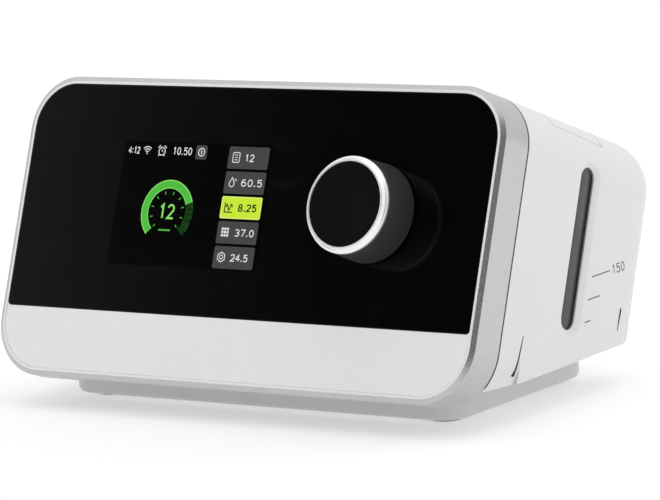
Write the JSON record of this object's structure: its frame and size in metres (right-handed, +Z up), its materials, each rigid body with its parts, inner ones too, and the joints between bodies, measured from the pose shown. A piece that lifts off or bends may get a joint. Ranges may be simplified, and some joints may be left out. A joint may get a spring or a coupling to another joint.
{
  "type": "bedside airway pressure machine",
  "caption": "Bedside airway pressure machine with a leaning glass front, control knob, lidded top-loading water tank, side water window and rear hose outlet.",
  "frame": {"origin": "centre of the bounding box on the surface that the rubber feet stand on", "axes": "+Z up, -Y out of the leaning front face, +X to the right seen from the front"},
  "size_m": [0.222, 0.1492, 0.1205],
  "materials": {
    "plinth_plastic": "satin moulded plastic",
    "soft_rubber": "matt rubber",
    "screw_steel": "plated steel",
    "case_white": "fine satin texture",
    "bezel_silver": "satin silver paint",
    "fascia_silver": "silver paint with a fine sparkle",
    "panel_black": "polished",
    "inner_plastic": "moulded",
    "screen": "display module",
    "circuit_board": "solder mask",
    "bright_metal": "turned",
    "knob_grey": "soft-touch",
    "ring_chrome": "satin and polished",
    "cap_black": "polished",
    "smoked_lens": "smoked and polished",
    "bay_grey": "moulded",
    "heater_metal": "brushed",
    "tank_clear": "clear moulded",
    "liner_clear": "frosted moulded",
    "blower_grey": "glass-filled moulding",
    "impeller_white": "fine moulding",
    "filter_foam": "open foam"
  },
  "bodies": {
    "case": {"base_left": "plinth_plastic", "base_right": "plinth_plastic", "rubber_feet": "soft_rubber", "case_screws": "screw_steel", "main_shell": "case_white", "rear_cover": "case_white", "front_bezel": "bezel_silver", "lower_fascia": "fascia_silver", "front_glass": "panel_black", "front_carrier": "inner_plastic", "display_module": "screen", "control_board": "circuit_board", "encoder_body": "bright_metal", "start_switch": "inner_plastic", "key_board": "circuit_board", "window_lens": "smoked_lens", "tank_bay": "bay_grey", "heater_tray": "inner_plastic", "heater_plate": "heater_metal", "blower_front": "blower_grey", "blower_rear": "blower_grey", "blower_motor": "bright_metal", "blower_mounts": "soft_rubber", "air_duct": "blower_grey", "duct_seal": "soft_rubber", "outlet_port": "case_white", "outlet_seal": "soft_rubber", "inlet_filter": "filter_foam", "power_inlet": "inner_plastic", "power_board": "circuit_board"},
    "knob_plunger": {"encoder_plunger": "inner_plastic"},
    "knob": {"encoder_shaft": "bright_metal", "knob_sleeve": "knob_grey", "knob_ring": "ring_chrome", "knob_cap": "cap_black"},
    "start_key": {"start_key": "case_white"},
    "tank": {"tank_body": "tank_clear", "tank_base_plate": "heater_metal", "lid_hinge_pins": "bright_metal"},
    "lid": {"humidifier_lid": "case_white", "lid_liner": "liner_clear", "lid_seal": "soft_rubber"},
    "filter_cover": {"filter_cover": "case_white"},
    "impeller": {"impeller": "impeller_white"}
  },
  "joints": [
    {"name": "knob_press", "type": "slide", "parent": "case", "child": "knob_plunger", "axis": [0, 0.9304, -0.3665], "range_m": [0, 0.0006], "stiffness_N_per_m": 3000, "springref_m": -0.001},
    {"name": "knob_turn", "type": "hinge", "parent": "knob_plunger", "child": "knob", "pos_m": [0.0586, -0.05043, 0.07603], "axis": [0, -0.9304, 0.3665], "continuous": true},
    {"name": "start_press", "type": "slide", "parent": "case", "child": "start_key", "axis": [0, -0.3665, -0.9304], "range_m": [0, 0.0008], "stiffness_N_per_m": 2000, "springref_m": -0.001},
    {"name": "tank_lift", "type": "slide", "parent": "case", "child": "tank", "axis": [0, 0.3665, 0.9304], "range_m": [0, 0.075]},
    {"name": "lid_hinge", "type": "hinge", "parent": "tank", "child": "lid", "pos_m": [0, 0.03065, 0.09331], "axis": [-1, 0, 0], "range_deg": [0, 93]},
    {"name": "filter_cover_pull", "type": "slide", "parent": "case", "child": "filter_cover", "axis": [-1, 0, 0], "range_m": [0, 0.012]},
    {"name": "impeller_spin", "type": "hinge", "parent": "case", "child": "impeller", "pos_m": [-0.062, 0.02402, 0.05766], "axis": [0, 0.9304, -0.3665], "continuous": true}
  ]
}
